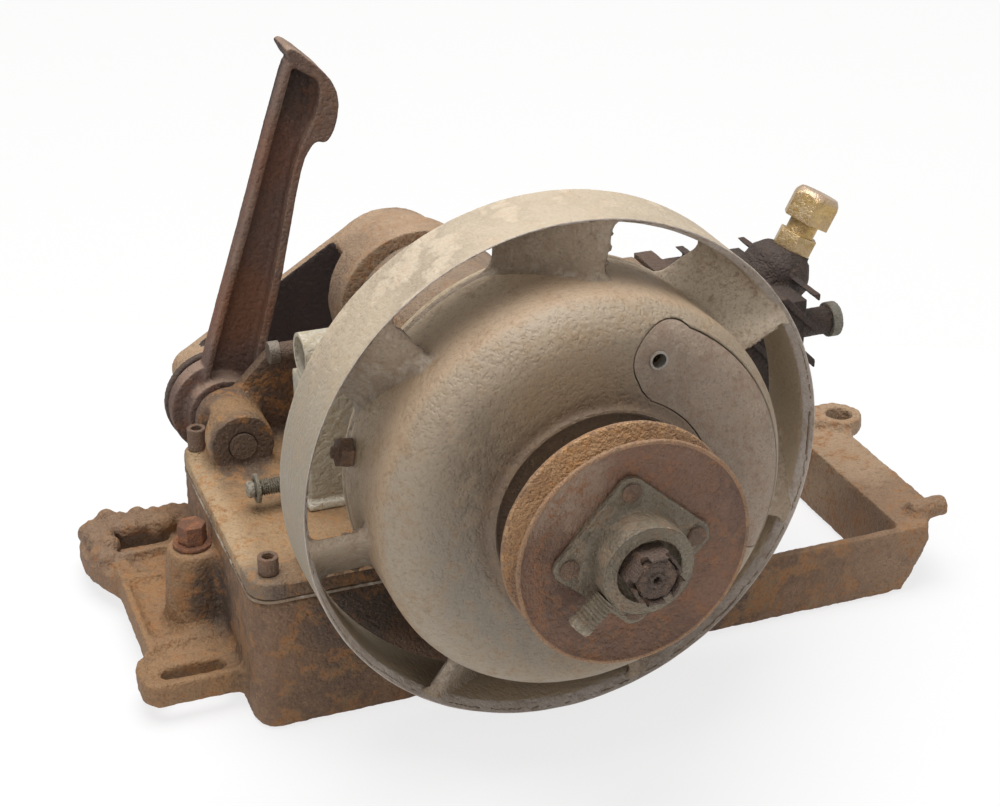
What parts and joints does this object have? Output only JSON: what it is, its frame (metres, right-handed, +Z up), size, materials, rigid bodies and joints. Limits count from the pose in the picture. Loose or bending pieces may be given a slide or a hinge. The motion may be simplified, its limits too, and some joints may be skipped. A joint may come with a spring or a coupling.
{
  "type": "stationary engine",
  "caption": "Small horizontal stationary engine on a tank base, with a fan flywheel and V-belt pulley, a kick lever at the side and a cylinder with slanted fins.",
  "frame": {"origin": "middle of the engine's outline on the floor, midway between its left and right ends and its front and back ends", "axes": "+X to the cylinder side, +Y away from the pulley along the crankshaft, +Z up"},
  "size_m": [0.4524, 0.354, 0.2867],
  "materials": {
    "base_iron": "rusty and stained",
    "gasket": "old gasket",
    "upper_iron": "tan stained casting",
    "screw_steel": "rusted",
    "rusty_steel": "orange rust",
    "case_iron": "dusty casting",
    "stator_alloy": "oxidised",
    "starter_iron": "brown casting",
    "lever_iron": "dark rust",
    "cylinder_iron": "soot and rust",
    "brass": "dull brass",
    "exhaust_iron": "grey oxide",
    "shaft_steel": "rusted",
    "wheel_alloy": "oxidised cast aluminium",
    "cover_alloy": "oxidised sheet",
    "bright_ring": "bright ring",
    "pulley_rust": "orange rust",
    "pulley_brown": "brown rust",
    "hub_iron": "green-grey casting",
    "nut_rust": "pitted rust",
    "pot_metal": "pale pot metal",
    "needle_metal": "dull plating",
    "knob_metal": "dull metal"
  },
  "bodies": {
    "engine": {"base_casting": "base_iron", "tank_gasket": "gasket", "upper_casting": "upper_iron", "front_cap_screw": "screw_steel", "rear_cap_screw": "screw_steel", "flange_bolt": "rusty_steel", "bolt_washer": "rusty_steel", "crankcase": "case_iron", "stator_plate": "stator_alloy", "starter_case": "starter_iron", "starter_cover": "starter_iron", "cylinder": "cylinder_iron", "plug_adapter": "brass", "brass_cap": "brass", "exhaust_flange": "exhaust_iron", "carburettor": "pot_metal", "intake_tube": "pot_metal", "needle_screw": "needle_metal", "needle_washer": "needle_metal", "stop_rod": "lever_iron", "rod_knob": "knob_metal"},
    "rotor": {"crankshaft": "shaft_steel", "flywheel": "wheel_alloy", "bowl_screw": "screw_steel", "inspection_cover": "cover_alloy", "cover_eyelet": "bright_ring", "pulley_rear": "pulley_rust", "pulley_front": "pulley_brown", "pulley_hub": "hub_iron", "hub_rivets": "pulley_brown", "hub_set_screw": "screw_steel", "crank_nut": "nut_rust"},
    "kick": {"kick_shaft": "lever_iron", "kick_lever": "lever_iron"}
  },
  "joints": [
    {"name": "flywheel_spin", "type": "hinge", "parent": "engine", "child": "rotor", "pos_m": [-0.03225, -0.024, 0.136], "axis": [0, 1, 0], "continuous": true},
    {"name": "kick_lever_turn", "type": "hinge", "parent": "engine", "child": "kick", "pos_m": [-0.14525, 0.096, 0.094], "axis": [0, -1, 0], "range_deg": [0, 65]}
  ]
}
